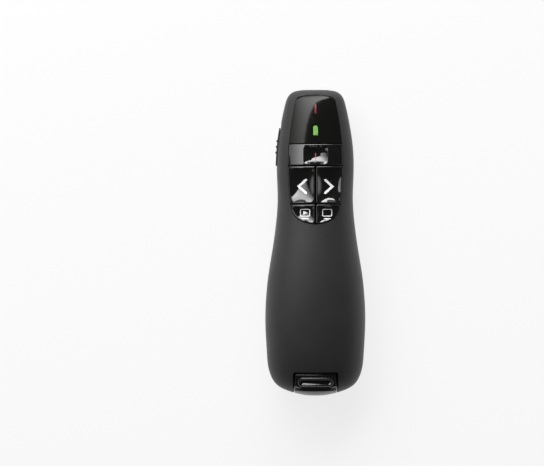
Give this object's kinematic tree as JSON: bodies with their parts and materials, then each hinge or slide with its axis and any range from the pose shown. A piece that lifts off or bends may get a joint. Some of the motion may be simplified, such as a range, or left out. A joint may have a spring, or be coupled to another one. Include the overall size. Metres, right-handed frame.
{
  "type": "presentation remote",
  "caption": "Hand-held wireless presentation remote with a glossy key island, side power switch, nose laser, sliding battery door and a receiver that slides out of the tail.",
  "frame": {"origin": "middle of the body's bounding box, on the surface that it lies on", "axes": "+Y towards the laser nose, +X to the user's right, +Z out of the keys"},
  "size_m": [0.0378, 0.1156, 0.0274],
  "materials": {
    "soft_touch": "soft-touch coating",
    "receiver_plastic": "polished",
    "smoked_window": "polished, smoked",
    "key_gloss": "polished",
    "switch_rubber": "matte",
    "inner_plastic": "satin",
    "inner_metal": "plain",
    "switch_body": "satin",
    "switch_plunger": "satin",
    "circuit_board": "solder mask",
    "chip_black": "moulded epoxy",
    "brass": "turned",
    "clear_lens": "clear",
    "copper": "tinned wire",
    "led_red": "moulded",
    "led_green": "moulded",
    "guide_clear": "frosted",
    "zinc_steel": "zinc plated",
    "battery_wrap": "plain printed wrap",
    "nickel_spring": "nickel plated",
    "gold": "gold plated"
  },
  "bodies": {
    "housing": {"top_cover": "soft_touch", "bottom_cover": "soft_touch", "indicator_window": "smoked_window", "key_frame": "inner_plastic", "slide_switch_case": "inner_metal", "key_switches": "switch_body", "main_board": "circuit_board", "laser_driver_board": "circuit_board", "main_chip": "chip_black", "board_components": "inner_metal", "laser_barrel": "brass", "laser_lens": "clear_lens", "laser_diode": "brass", "laser_leads": "copper", "aperture_window": "clear_lens", "laser_indicator_led": "led_red", "battery_indicator_led": "led_green", "laser_light_guide": "guide_clear", "battery_light_guide": "guide_clear", "housing_screws": "zinc_steel", "battery_left": "battery_wrap", "battery_right": "battery_wrap", "positive_contact": "nickel_spring", "negative_contact": "nickel_spring", "bridge_contact": "nickel_spring", "negative_spring": "nickel_spring", "bridge_spring": "nickel_spring"},
    "battery_door": {"battery_door": "soft_touch"},
    "receiver": {"receiver_shell_upper": "receiver_plastic", "receiver_shell_lower": "receiver_plastic", "usb_plug_shell": "zinc_steel", "usb_tongue": "inner_plastic", "usb_contacts": "gold", "receiver_board": "circuit_board", "receiver_chip": "chip_black"},
    "laser_key": {"laser_button": "key_gloss", "laser_switch_plunger": "switch_plunger"},
    "back_key": {"back_button": "key_gloss", "back_switch_plunger": "switch_plunger"},
    "forward_key": {"forward_button": "key_gloss", "forward_switch_plunger": "switch_plunger"},
    "slideshow_key": {"slideshow_button": "key_gloss", "slideshow_switch_plunger": "switch_plunger"},
    "blank_key": {"blank_button": "key_gloss", "blank_switch_plunger": "switch_plunger"},
    "power_switch": {"power_switch_knob": "switch_rubber", "slide_switch_lever": "inner_plastic"}
  },
  "joints": [
    {"name": "battery_door_slide", "type": "slide", "parent": "housing", "child": "battery_door", "axis": [0, -1, 0], "range_m": [0, 0.062]},
    {"name": "receiver_slide", "type": "slide", "parent": "housing", "child": "receiver", "axis": [0, -1, 0], "range_m": [0, 0.06]},
    {"name": "power_switch_slide", "type": "slide", "parent": "housing", "child": "power_switch", "axis": [0.0924, 0.9957, 0], "range_m": [0, 0.002]},
    {"name": "laser_key_press", "type": "slide", "parent": "housing", "child": "laser_key", "axis": [0, 0, -1], "range_m": [0, 0.0004], "stiffness_N_per_m": 1800},
    {"name": "back_key_press", "type": "slide", "parent": "housing", "child": "back_key", "axis": [0, 0, -1], "range_m": [0, 0.0004], "stiffness_N_per_m": 1800},
    {"name": "forward_key_press", "type": "slide", "parent": "housing", "child": "forward_key", "axis": [0, 0, -1], "range_m": [0, 0.0004], "stiffness_N_per_m": 1800},
    {"name": "slideshow_key_press", "type": "slide", "parent": "housing", "child": "slideshow_key", "axis": [0, 0, -1], "range_m": [0, 0.0004], "stiffness_N_per_m": 1800},
    {"name": "blank_key_press", "type": "slide", "parent": "housing", "child": "blank_key", "axis": [0, 0, -1], "range_m": [0, 0.0004], "stiffness_N_per_m": 1800}
  ]
}
